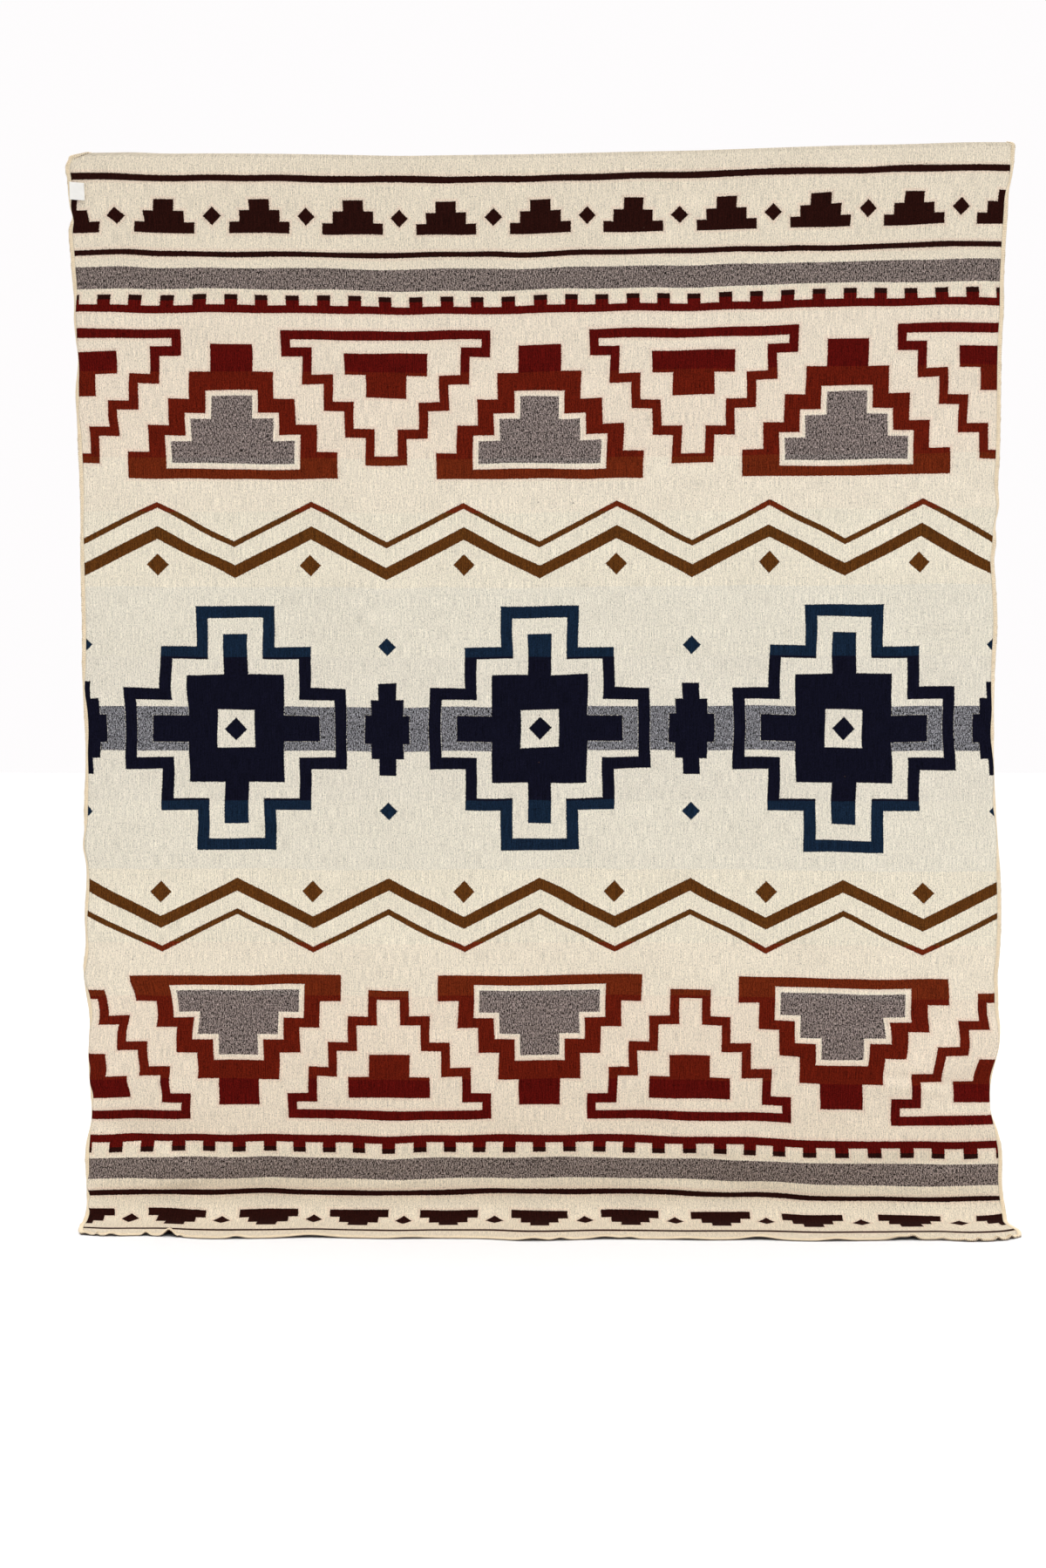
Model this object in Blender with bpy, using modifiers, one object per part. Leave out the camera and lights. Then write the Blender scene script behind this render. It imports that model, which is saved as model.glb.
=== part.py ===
"""A woven wool throw, hung by its top edge, whose lowest part lies forward on the floor.

Metres, +Z up. The front of the cloth faces -Y, and the origin is the middle of its top edge.

The cloth is one sheet. Its middle surface is a function of two numbers: across, from -1 at the
left side to 1 at the right side as seen from the front, and stage, which counts the four stretches
that the cloth passes from the top down: 0 to 1 is the turned top edge, 1 to 2 hangs, 2 to 3 bends
forward at the floor and 3 to 4 lies on it.
"""

import math

import bpy
import numpy as np

COLLECTION_NAME = "hung_wool_throw"

# The cloth and how it hangs
THICKNESS = 0.003
HALF_WIDTH = 0.82
TOP_SPREAD = 0.02  # how much wider each half is at the top, where it is held
TOP_SPREAD_DEPTH = 0.25
HANG_HEIGHT = 1.915  # from the floor to the middle of the top edge
TURN_RADIUS = 0.008  # of the top edge, which turns back
TURN_ANGLE = math.radians(150)
FOOT_RADIUS = 0.022  # of the bend where the cloth meets the floor

# Across, and how far the top edge there is above its middle
TOP_EDGE = (
    (-1.0, 0.0037),
    (-0.80, 0.0014),
    (-0.56, 0.0006),
    (-0.34, -0.0027),
    (0.00, 0.0000),
    (0.34, 0.0067),
    (0.56, 0.0130),
    (0.79, 0.0177),
    (1.0, 0.0212),
)

# Across, and how far in front of the hanging cloth the hem lies
HEM_REACH = (
    (-1.0, 0.124),
    (-0.80, 0.142),
    (-0.50, 0.146),
    (-0.30, 0.152),
    (0.00, 0.164),
    (0.20, 0.157),
    (0.50, 0.162),
    (0.75, 0.165),
    (0.90, 0.171),
    (1.0, 0.140),
)

# Distance below the top edge, and how far the left side stands in from a straight cut
LEFT_SIDE = (
    (-0.005, 0.036),
    (0.001, 0.024),
    (0.006, 0.008),
    (0.013, 0.002),
    (0.024, -0.002),
    (0.15, -0.003),
    (0.35, 0.001),
    (0.42, -0.004),
    (0.76, -0.002),
    (1.06, 0.002),
    (1.23, -0.004),
    (1.46, -0.005),
    (1.55, 0.002),
    (1.63, -0.002),
    (1.70, 0.004),
    (1.79, -0.006),
    (1.96, -0.008),
    (2.03, 0.012),
)

# Distance below the top edge, and how far the right side stands out from a straight cut
RIGHT_SIDE = (
    (-0.005, -0.012),
    (0.001, -0.006),
    (0.009, 0.003),
    (0.016, 0.004),
    (0.09, -0.003),
    (0.36, -0.002),
    (0.73, -0.005),
    (0.85, 0.003),
    (1.10, 0.001),
    (1.29, 0.014),
    (1.41, 0.015),
    (1.50, 0.011),
    (1.59, 0.018),
    (1.71, 0.001),
    (1.80, 0.023),
    (1.92, 0.033),
    (2.05, 0.025),
)

# Broad waves of the hanging cloth: how many cross its width, their height and where they start
WAVES = (
    (2.2, 0.0045, 0.4),
    (3.7, 0.0030, 2.1),
    (5.9, 0.0012, 4.4),
)
WAVES_START = 0.20  # below the top, where the cloth is still held straight
WAVES_FULL = 1.10

# Just above the floor the cloth bulges forward and then falls back
BULGE = 0.004
BULGE_HEIGHT = 0.37
BULGE_HALF_SPAN = 0.16
SET_BACK = 0.012
SET_BACK_FROM = 0.27
SET_BACK_TO = 0.04

# Soft folds of the lower part: the middle's x and height above the floor, half length and half
# width, how far the fold goes back (less than zero is forward), and its tilt in degrees
FOLDS = (
    (-0.73, 0.155, 0.10, 0.030, 0.008, -14),
    (-0.60, 0.085, 0.13, 0.030, -0.006, 6),
    (0.79, 0.235, 0.09, 0.038, 0.012, 12),
    (0.72, 0.105, 0.13, 0.030, 0.007, 10),
    (0.34, 0.130, 0.10, 0.040, -0.005, -22),
)

# Ripples that lift the hem off the floor: x, half width, height
HEM_RIPPLES = (
    (-0.656, 0.034, 0.007),
    (-0.520, 0.030, 0.003),
    (0.005, 0.045, 0.003),
    (0.120, 0.035, 0.003),
    (0.385, 0.036, 0.004),
    (0.610, 0.045, 0.005),
    (0.745, 0.034, 0.006),
)
RIPPLE_DEPTH = 0.045  # how far a ripple runs back from the hem

# The small label, a ribbon folded in two and sewn by its ends to the left side near the top
LABEL_WIDTH = 0.028
LABEL_HEIGHT = 0.032
LABEL_THICKNESS = 0.001
LABEL_TOP = 0.050  # below the top edge
LABEL_SIDE_INSET = 0.0015
LABEL_GAP = 0.0003
LABEL_CURL = 0.0015  # how much further its free folded end stands off the cloth

# The grid that carries the sheet
COLUMNS = 56
TURN_ROWS = 4
UPPER_ROWS = 12
LOWER_ROWS = 11
CORNER_SHARE = 0.01  # one row this far down the hanging stretch keeps the top corners round
LOWER_SHARE = 0.25  # the lowest share of the hanging stretch has the closer rows
FOOT_ROWS = 4
FLOOR_ROWS = 5

CREAM = (0.72, 0.64, 0.52, 1.0)
LABEL_WHITE = (0.86, 0.85, 0.82, 1.0)


def ease(share):
    """0 up to share 0, 1 from share 1, and a smooth step between them."""
    held = np.clip(share, 0.0, 1.0)
    return held * held * (3.0 - 2.0 * held)


def curve_through(rows, at):
    """A cubic curve through (place, value) rows, with each row's slope taken from its neighbours."""
    place, value = np.array(rows, float).T
    slope = np.gradient(value, place)
    index = np.clip(np.searchsorted(place, at) - 1, 0, len(place) - 2)
    step = place[index + 1] - place[index]
    t = np.clip((at - place[index]) / step, 0.0, 1.0)
    start = value[index] * (1 + 2 * t) * (1 - t) ** 2
    start_slope = slope[index] * step * t * (1 - t) ** 2
    end = value[index + 1] * t**2 * (3 - 2 * t)
    end_slope = slope[index + 1] * step * t**2 * (t - 1)
    return start + start_slope + end + end_slope


def depth_at(x, below_top, above_floor):
    """How far behind the plane of hanging each point is: waves, bulge, set-back and folds."""
    depth = SET_BACK * ease((SET_BACK_FROM - above_floor) / (SET_BACK_FROM - SET_BACK_TO))
    depth = depth - BULGE * np.exp(-(((above_floor - BULGE_HEIGHT) / BULGE_HALF_SPAN) ** 2))
    growth = ease((below_top - WAVES_START) / (WAVES_FULL - WAVES_START))
    for count, height, start in WAVES:
        depth = depth + growth * height * np.sin(math.pi * count * x / HALF_WIDTH + start)
    for middle_x, middle_height, half_length, half_width, back, tilt in FOLDS:
        turn = math.radians(tilt)
        aside = x - middle_x
        up = above_floor - middle_height
        along = aside * math.cos(turn) + up * math.sin(turn)
        over = up * math.cos(turn) - aside * math.sin(turn)
        depth = depth + back * np.exp(-((along / half_length) ** 2) - (over / half_width) ** 2)
    return depth


def cloth_surface(across, stage):
    """The middle surface of the cloth, as x, y and z arrays.

    The path of each column is measured from the top: the turned edge is an arc, then comes the
    drop to the floor, a quarter turn of FOOT_RADIUS and the run to the hem. The sides follow
    their tables, and each point between them keeps its share of the width.
    """
    floor = -HANG_HEIGHT + THICKNESS / 2
    top = curve_through(TOP_EDGE, across) - THICKNESS / 2
    turn_length = TURN_RADIUS * TURN_ANGLE
    drop = top - TURN_RADIUS - FOOT_RADIUS - floor
    foot_depth = depth_at(across * HALF_WIDTH, turn_length + drop, FOOT_RADIUS)
    run = curve_through(HEM_REACH, across) + foot_depth - FOOT_RADIUS

    turned = np.clip(stage, 0, 1) * turn_length
    hung = np.clip(stage - 1, 0, 1) * drop
    bent = np.clip(stage - 2, 0, 1) * math.pi / 2
    laid = np.clip(stage - 3, 0, 1) * run
    below_top = turned + hung + bent * FOOT_RADIUS + laid

    half = HALF_WIDTH + TOP_SPREAD * np.exp(-below_top / TOP_SPREAD_DEPTH)
    below_edge = below_top - turn_length + TURN_RADIUS
    left = -half + curve_through(LEFT_SIDE, below_edge)
    right = half + curve_through(RIGHT_SIDE, below_edge)
    x = left + (right - left) * (across + 1) / 2

    turn_left = TURN_ANGLE - turned / TURN_RADIUS
    above_floor = FOOT_RADIUS + drop - hung
    depth = depth_at(x, turn_length + hung, above_floor)
    y = TURN_RADIUS * (1 - np.cos(turn_left)) + depth
    y = y - FOOT_RADIUS * (1 - np.cos(bent)) - laid
    z = floor + above_floor + TURN_RADIUS * np.sin(turn_left) - FOOT_RADIUS * np.sin(bent)

    hem = ease((laid - run + RIPPLE_DEPTH) / RIPPLE_DEPTH)
    for middle_x, half_width, height in HEM_RIPPLES:
        z = z + hem * height * np.exp(-(((x - middle_x) / half_width) ** 2))
    return x, y, z


def material(name, colour, roughness):
    """A plain cloth finish."""
    made = bpy.data.materials.new(name)
    made.use_nodes = True
    shader = made.node_tree.nodes["Principled BSDF"]
    shader.inputs["Base Color"].default_value = colour
    shader.inputs["Roughness"].default_value = roughness
    shader.inputs["Metallic"].default_value = 0.0
    made.diffuse_color = colour
    return made


def sheet_object(name, columns, rows, surface, thickness, finish):
    """A grid made a wall by Solidify, with its points where surface(across, down) puts them.

    across runs from -1 to 1 and down from 0 to 1.
    """
    bpy.ops.mesh.primitive_grid_add(x_subdivisions=columns, y_subdivisions=rows, size=2)
    sheet = bpy.context.object
    sheet.name = name
    mesh = sheet.data
    mesh.name = name
    flat = np.zeros(len(mesh.vertices) * 3, np.float32)
    mesh.vertices.foreach_get("co", flat)
    flat = flat.reshape(-1, 3)
    placed = np.stack(surface(flat[:, 0], (1 - flat[:, 1]) / 2), axis=1)
    mesh.vertices.foreach_set("co", placed.astype(np.float32).ravel())
    mesh.shade_smooth()
    mesh.materials.append(finish)
    wall = sheet.modifiers.new("thickness", "SOLIDIFY")
    wall.thickness = thickness
    wall.offset = 0
    wall.use_even_offset = True
    return sheet


def throw_panel():
    """The cloth, with close rows at its two bends and just above the floor."""
    stages = np.concatenate(
        [
            np.linspace(0, 1, TURN_ROWS, endpoint=False),
            [1],
            1 + np.linspace(CORNER_SHARE, 1 - LOWER_SHARE, UPPER_ROWS, endpoint=False),
            2 - LOWER_SHARE + np.linspace(0, LOWER_SHARE, LOWER_ROWS, endpoint=False),
            2 + np.linspace(0, 1, FOOT_ROWS, endpoint=False),
            3 + np.linspace(0, 1, FLOOR_ROWS + 1),
        ]
    )
    row_places = np.linspace(0, 1, len(stages))

    def placed(across, down):
        return cloth_surface(across, np.interp(down, row_places, stages))

    finish = material("woven_wool", CREAM, 0.95)
    return sheet_object("throw_panel", COLUMNS, len(stages) - 1, placed, THICKNESS, finish)


def label():
    """The ribbon flat on the front of the cloth, as one sheet, with its folded end off to the right."""

    def placed(across, down):
        share = (across + 1) / 2
        x = -HALF_WIDTH - TOP_SPREAD * math.exp(-LABEL_TOP / TOP_SPREAD_DEPTH)
        x = x + LABEL_SIDE_INSET + LABEL_WIDTH * share
        z = -LABEL_TOP - LABEL_HEIGHT * down
        cloth = depth_at(x, -z, HANG_HEIGHT + z)
        off = THICKNESS / 2 + LABEL_GAP + LABEL_THICKNESS / 2
        return x, cloth - off - LABEL_CURL * share**2, z

    finish = material("label_ribbon", LABEL_WHITE, 0.6)
    return sheet_object("label", 6, 6, placed, LABEL_THICKNESS, finish)


def clear_scene():
    """Empties the scene of what was there before."""
    for thing in list(bpy.data.objects):
        bpy.data.objects.remove(thing, do_unlink=True)


def main():
    clear_scene()
    group = bpy.data.collections.new(COLLECTION_NAME)
    bpy.context.scene.collection.children.link(group)
    for piece in (throw_panel(), label()):
        for holder in list(piece.users_collection):
            holder.objects.unlink(piece)
        group.objects.link(piece)


main()
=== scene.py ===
# %% [markdown]
# # A wool throw, hung by its top edge
#
# The real thing is one large double-faced woven cloth of soft wool. It hangs flat from its top
# edge, and its lowest part lies forward on the floor. Its sides and hem are closed by a seam of
# thick cream thread, and a small ribbon label is sewn to one side.
#
# The lesson goes from big to small: where the cloth hangs, the cloth itself, the seam, the label,
# then the yarn colours, the woven design and the light. Lengths are in metres.

# %% The frame
import math

import bpy
import numpy as np
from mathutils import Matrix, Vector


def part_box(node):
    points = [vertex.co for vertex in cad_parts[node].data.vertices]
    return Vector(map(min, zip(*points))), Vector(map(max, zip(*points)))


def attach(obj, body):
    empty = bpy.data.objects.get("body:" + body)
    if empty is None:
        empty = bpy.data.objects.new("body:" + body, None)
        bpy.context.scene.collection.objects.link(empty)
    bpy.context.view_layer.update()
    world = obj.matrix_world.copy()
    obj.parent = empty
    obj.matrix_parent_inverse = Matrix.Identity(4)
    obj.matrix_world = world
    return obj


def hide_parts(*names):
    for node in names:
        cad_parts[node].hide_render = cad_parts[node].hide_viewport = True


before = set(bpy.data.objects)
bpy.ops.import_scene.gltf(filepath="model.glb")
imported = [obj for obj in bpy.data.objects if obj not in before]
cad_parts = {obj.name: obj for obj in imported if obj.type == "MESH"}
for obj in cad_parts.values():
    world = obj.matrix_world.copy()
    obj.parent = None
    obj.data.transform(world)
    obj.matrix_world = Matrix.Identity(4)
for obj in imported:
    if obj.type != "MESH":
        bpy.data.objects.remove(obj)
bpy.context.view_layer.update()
print("solids to dress:", sorted(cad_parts))

# %% [markdown]
# The frame gives two facts that everything else follows: the floor's height, which is the lowest
# point of the solid cloth, and the origin, which is the middle of the top edge. The flat cut is
# 1.68 by 2.08 m, a usual size of such throws.

# %% The cloth's own sizes
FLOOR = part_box("throw_panel")[0][2]
HANG_HEIGHT = -FLOOR
CUT_WIDTH = 1.68
CUT_LENGTH = 2.08
CLOTH_THICKNESS = 0.0026
SOLID_THICKNESS = 0.003
HALF_WIDTH = 0.82
TOP_SPREAD = 0.02  # how much further out each side reaches at the top
TOP_SPREAD_DEPTH = 0.25
TURN_RADIUS = 0.008  # of the top edge, which turns back
TURN_ANGLE = math.radians(150)
FOOT_RADIUS = 0.042  # of the bend at the floor
FOOT_ON_CUT = 1.895  # how far down the flat cut the cloth meets the floor
ROW_SINK = 0.016  # how much lower the woven rows hang at the right side
ROW_SINK_FROM = 0.1
print(f"the floor is {HANG_HEIGHT:.3f} m below the top edge")

# %% [markdown]
# A hung cloth is never straight. Its top edge rises a little to the right, its sides wander in
# and out by some millimetres, and its hem reaches further forward in some places than in others.
# Short tables hold these facts, one row for each place, and a cubic curve joins the rows.

# %% A smooth step, and a curve through the rows of a table
def ease(share):
    """Three times the square less twice the cube of the share, which is first kept in 0 to 1."""
    held = np.clip(share, 0.0, 1.0)
    return held * held * (3.0 - 2.0 * held)


def curve_through(rows, at):
    """A cubic between each two (place, value) rows, with slopes taken from the rows beside them."""
    place, value = np.array(rows, float).T
    slope = np.gradient(value, place)
    index = np.clip(np.searchsorted(place, at) - 1, 0, len(place) - 2)
    step = place[index + 1] - place[index]
    t = np.clip((at - place[index]) / step, 0.0, 1.0)
    start = value[index] * (1 + 2 * t) * (1 - t) ** 2
    start_slope = slope[index] * step * t * (1 - t) ** 2
    end = value[index + 1] * t**2 * (3 - 2 * t)
    end_slope = slope[index + 1] * step * t**2 * (t - 1)
    return start + start_slope + end + end_slope


# %% The four edges of the cloth
# Across, from -1 at the left side to 1 at the right, and the top edge's height there
TOP_EDGE = (
    (-1.0, 0.0024), (-0.955, 0.0026), (-0.90, 0.0033), (-0.82, 0.0012), (-0.71, 0.0013),
    (-0.56, 0.0006), (-0.41, -0.0013), (-0.30, -0.0029), (-0.185, -0.0018), (0.00, 0.0003),
    (0.19, 0.0042), (0.34, 0.0067), (0.45, 0.0098), (0.56, 0.0130), (0.64, 0.0151),
    (0.79, 0.0177), (0.90, 0.0206), (0.96, 0.0210), (1.0, 0.0206),
)

# Across, and how far in front of the hanging cloth the hem lies
HEM_REACH = (
    (-1.0, 0.126), (-0.95, 0.134), (-0.88, 0.133), (-0.80, 0.139), (-0.75, 0.149), (-0.60, 0.150),
    (-0.50, 0.144), (-0.41, 0.148), (-0.33, 0.152), (-0.22, 0.150), (-0.11, 0.154), (-0.037, 0.166),
    (0.04, 0.163), (0.113, 0.156), (0.23, 0.156), (0.34, 0.161), (0.49, 0.160), (0.56, 0.167),
    (0.71, 0.164), (0.80, 0.162), (0.84, 0.164), (0.90, 0.172), (0.94, 0.168), (0.97, 0.160),
    (1.0, 0.140),
)

# Distance below the top edge, and how far the left side stands in from a straight cut
LEFT_SIDE = (
    (-0.005, 0.036), (0.001, 0.024), (0.006, 0.0065), (0.0125, 0.0018), (0.022, -0.0035),
    (0.044, -0.0029), (0.094, -0.002), (0.112, 0.0012), (0.126, -0.0038), (0.184, -0.005),
    (0.265, -0.0034), (0.29, -0.0048), (0.328, -0.0024), (0.352, 0.0005), (0.418, -0.0054),
    (0.494, -0.0035), (0.546, -0.0019), (0.59, -0.0012), (0.708, -0.0022), (0.858, -0.0012),
    (0.92, -0.0025), (1.038, 0.0014), (1.085, 0.001), (1.174, -0.0022), (1.207, -0.0029),
    (1.234, -0.0059), (1.264, -0.0009), (1.37, -0.0039), (1.42, -0.0026), (1.459, -0.0074),
    (1.484, -0.0057), (1.541, 0.0026), (1.59, 0.0013), (1.632, -0.0005), (1.672, 0.0014),
    (1.735, 0.003), (1.781, -0.0063), (1.849, -0.0061), (1.904, -0.0047), (1.959, -0.0055),
    (1.999, 0.0015), (2.029, 0.013), (2.054, 0.018),
)

# Distance below the top edge, and how far the right side stands out from a straight cut
RIGHT_SIDE = (
    (-0.005, -0.005), (-0.002, -0.001), (0.001, 0.001), (0.006, 0.0035), (0.016, 0.004),
    (0.054, 0.0037), (0.086, -0.0008), (0.124, -0.0009), (0.244, -0.0017), (0.29, 0.0002),
    (0.354, -0.0013), (0.47, 0.0003), (0.56, 0.0005), (0.605, -0.0011), (0.642, 0.0021),
    (0.673, -0.0035), (0.705, -0.0024), (0.736, -0.0052), (0.773, -0.0022), (0.852, 0.0021),
    (0.927, -0.0001), (1.045, 0.0001), (1.108, 0.0012), (1.198, 0.0066), (1.29, 0.0137),
    (1.414, 0.0169), (1.465, 0.0141), (1.49, 0.0117), (1.522, 0.0135), (1.553, 0.0146),
    (1.584, 0.0186), (1.616, 0.018), (1.648, 0.0121), (1.679, 0.0071), (1.71, 0.0035),
    (1.742, 0.0043), (1.774, 0.0162), (1.805, 0.0239), (1.868, 0.0247), (1.924, 0.029),
    (1.969, 0.0255), (2.024, 0.0345), (2.054, 0.029),
)
SIDE_FADE = 0.20  # how far into the cloth a side's wandering is felt
print("edge rows:", len(TOP_EDGE) + len(HEM_REACH) + len(LEFT_SIDE) + len(RIGHT_SIDE))

# %% [markdown]
# In places a side rolls away to the back, so that less of its seam shows. The last centimetre or
# so is then an arc: the table says through how many degrees it turns.

# %% The rolled sides
ROLL_WIDTH = 0.014
SMALLEST_TURN = 1.0  # degrees, so that the radius of a flat side stays finite

# Distance below the top edge, and the degrees
LEFT_ROLL = (
    (0.05, 0), (0.085, 60), (0.108, 115), (0.124, 30), (0.16, 0), (0.235, 0), (0.262, 65),
    (0.31, 70), (0.352, 112), (0.385, 70), (0.43, 30), (0.47, 65), (0.50, 0), (0.60, 10),
    (0.66, 45), (0.72, 0), (0.90, 0), (0.955, 70), (1.00, 10), (1.07, 60), (1.12, 25),
    (1.17, 0), (1.21, 65), (1.25, 70), (1.33, 30), (1.39, 65), (1.45, 30), (1.478, 112),
    (1.50, 40), (1.54, 30), (1.57, 98), (1.62, 112), (1.64, 75), (1.665, 112), (1.69, 50),
    (1.72, 108), (1.75, 95), (1.79, 10), (1.83, 30), (1.86, 100), (1.875, 40), (1.89, 80),
    (1.91, 0),
)
RIGHT_ROLL = (
    (0.02, 0), (0.06, 60), (0.11, 0), (0.60, 0), (0.67, 70), (0.71, 0), (0.97, 35), (1.01, 60),
    (1.05, 20), (1.08, 70), (1.115, 108), (1.14, 88), (1.18, 45), (1.21, 85), (1.26, 65),
    (1.30, 0), (1.55, 10), (1.595, 70), (1.64, 98), (1.68, 72), (1.70, 106), (1.745, 108),
    (1.765, 70), (1.80, 0),
)


def rolled(from_edge, degrees):
    """How far a roll moves a point of the side inwards, and how far back.

    The roll is an arc of ROLL_WIDTH that turns by the angle, so its radius is their quotient. Its
    outermost point lies where the flat edge was, so the cloth beside it is drawn outwards.
    """
    angle = np.radians(np.maximum(degrees, SMALLEST_TURN))
    radius = ROLL_WIDTH / angle
    turned = angle * np.clip(1 - from_edge / ROLL_WIDTH, 0, 1)
    outermost = radius * np.sin(np.minimum(angle, math.pi / 2))
    kept = np.maximum(from_edge, ROLL_WIDTH)
    inwards = kept - from_edge - ROLL_WIDTH + outermost - radius * np.sin(turned)
    return inwards, radius * (1 - np.cos(turned))


print("rolls:", len(LEFT_ROLL) + len(RIGHT_ROLL))

# %% [markdown]
# Next comes depth. Broad waves cross the hanging part, because a soft cloth never hangs as a
# plane. Below them it bulges a little, and its foot leans forward, since the part that lies on the
# floor pulls it there. The folds are soft troughs: each is a bell curve along its length and
# another one across it. A crease is sharper: one side of its line rises and the other sinks.

# %% Waves, folds and creases
# How many waves cross the width, their height and where they start
WAVES = ((2.2, 0.0045, 0.4), (3.7, 0.0030, 2.1), (5.9, 0.0012, 4.4))
WAVES_START = 0.20
WAVES_FULL = 1.10
BULGE = 0.0022
BULGE_HEIGHT = 0.37
BULGE_HALF_SPAN = 0.16
FOOT_LEAN = 0.006
FOOT_LEAN_FROM = 0.18  # heights above the floor, where the lean begins and where it is whole
FOOT_LEAN_TO = 0.03

# x and height above the floor of the middle, half length, half width, depth, tilt in degrees
FOLDS = (
    (-0.73, 0.155, 0.10, 0.030, 0.008, -14),
    (-0.60, 0.085, 0.13, 0.030, -0.006, 6),
    (0.79, 0.235, 0.09, 0.038, 0.012, 12),
    (0.72, 0.105, 0.13, 0.030, 0.007, 10),
    (0.34, 0.130, 0.10, 0.040, -0.005, -22),
)

# The same columns. Here the depth is how far the upper side of the line sinks and the lower rises
CREASES = (
    (-0.715, 0.135, 0.060, 0.009, 0.0047, -19),
    (-0.655, 0.043, 0.060, 0.010, 0.0043, 10),
    (-0.645, 0.218, 0.028, 0.006, 0.0018, 0),
    (-0.640, 0.092, 0.030, 0.008, 0.0025, -38),
    (-0.390, 0.165, 0.030, 0.008, 0.0023, -40),
    (0.745, 0.086, 0.062, 0.008, 0.0040, 4),
    (0.765, 0.112, 0.052, 0.007, 0.0032, 17),
    (0.640, 0.150, 0.032, 0.007, 0.0022, 58),
    (0.540, 0.205, 0.050, 0.010, 0.0022, -30),
    (-0.080, 0.330, 0.060, 0.012, 0.0022, -52),
    (0.600, 0.345, 0.100, 0.014, 0.0043, 6),
    (0.690, 0.245, 0.100, 0.012, 0.0040, -8),
    (0.150, 0.240, 0.060, 0.010, 0.0018, 32),
    (-0.250, 0.075, 0.080, 0.011, 0.0022, 5),
    (0.300, 0.060, 0.080, 0.011, 0.0022, -4),
)
DEPTH_COLUMN = 4
CREASE_CURVE = 0.5  # how far a crease's line bends at its ends, in half widths
CREASE_PEAK = 0.5  # the power that brings the curve's peak to 0.7 of the depth

# The cloth was stored folded, which left one faint line down its middle
STORED_FOLD_X = 0.012
STORED_FOLD_WIDTH = 0.005
STORED_FOLD_DEPTH = 0.0010
STORED_FOLD_WHOLE = 0.1  # how far below the top edge it is whole

# Small unevenness: radians for each metre across and up, its height, and where it starts
UNEVEN_WHOLE = 0.3  # how far below the top edge it is whole
UNEVEN = (
    (61.0, 9.0, 0.00035, 0.3),
    (47.0, -23.0, 0.00030, 1.9),
    (23.0, 41.0, 0.00035, 4.0),
    (95.0, 5.0, 0.00018, 2.7),
    (13.0, 29.0, 0.00060, 0.9),
)


def turned_to(x, up, row):
    """Along and across a fold's line, each as a share of its half length or half width."""
    middle_x, middle_up, half_length, half_width, _, tilt = row
    turn = math.radians(tilt)
    aside, above = x - middle_x, up - middle_up
    along = (aside * math.cos(turn) + above * math.sin(turn)) / half_length
    over = (above * math.cos(turn) - aside * math.sin(turn)) / half_width
    return along, over


def depth_at(x, below_top, above_floor):
    """How far behind the plane of hanging a point is.

    Less the foot's lean and the bulge, which depend on the height alone, and then the sum of the
    sine waves, the bell-shaped folds, and the creases, each the slope of a bell curve.
    """
    depth = -FOOT_LEAN * ease((FOOT_LEAN_FROM - above_floor) / (FOOT_LEAN_FROM - FOOT_LEAN_TO))
    depth = depth - BULGE * np.exp(-(((above_floor - BULGE_HEIGHT) / BULGE_HALF_SPAN) ** 2))
    growth = ease((below_top - WAVES_START) / (WAVES_FULL - WAVES_START))
    for count, height, start in WAVES:
        depth = depth + growth * height * np.sin(math.pi * count * x / HALF_WIDTH + start)
    for row in FOLDS:
        along, over = turned_to(x, above_floor, row)
        depth = depth + row[DEPTH_COLUMN] * np.exp(-(along**2) - over**2)
    for row in CREASES:
        along, over = turned_to(x, above_floor, row)
        bend = over + CREASE_CURVE * along**2
        depth = depth + row[DEPTH_COLUMN] * bend * np.exp(CREASE_PEAK - along**2 - bend**2)
    stored = np.exp(-(((x - STORED_FOLD_X) / STORED_FOLD_WIDTH) ** 2))
    depth = depth - STORED_FOLD_DEPTH * stored * ease(below_top / STORED_FOLD_WHOLE)
    for across, up, height, start in UNEVEN:
        wave = np.sin(across * x + up * above_floor + start)
        depth = depth + height * ease(below_top / UNEVEN_WHOLE) * wave
    return depth


print("folds:", len(FOLDS), "creases:", len(CREASES))

# %% [markdown]
# The hem lies on the floor but lifts off it in small ripples, which show the dark reverse side
# and its shadow. Each ripple is a bell curve that fades out towards the back.

# %% Ripples of the hem
# x, half width, height, how far back it fades out
HEM_RIPPLES = (
    (-0.806, 0.008, 0.003, 0.045),
    (-0.7836, 0.0032, 0.005, 0.020),
    (-0.758, 0.009, 0.004, 0.022),
    (-0.697, 0.0065, 0.006, 0.020),
    (-0.655, 0.0105, 0.012, 0.026),
    (-0.634, 0.004, 0.003, 0.020),
    (-0.535, 0.014, 0.004, 0.045),
    (-0.405, 0.040, 0.004, 0.045),
    (-0.230, 0.030, 0.002, 0.045),
    (-0.012, 0.022, 0.004, 0.045),
    (0.036, 0.012, 0.004, 0.030),
    (0.115, 0.025, 0.004, 0.045),
    (0.158, 0.012, 0.003, 0.030),
    (0.260, 0.030, 0.002, 0.045),
    (0.385, 0.030, 0.005, 0.045),
    (0.520, 0.022, 0.003, 0.045),
    (0.634, 0.018, 0.005, 0.030),
    (0.656, 0.009, 0.006, 0.024),
    (0.706, 0.008, 0.002, 0.030),
    (0.743, 0.004, 0.002, 0.020),
    (0.769, 0.0045, 0.004, 0.022),
    (0.8033, 0.005, 0.005, 0.024),
    (0.8285, 0.0045, 0.005, 0.022),
)
HEM_LIFT = 0.0012  # the whole hem stands a little off the floor, because the seam is stiff
HEM_LIFT_DEPTH = 0.045


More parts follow.
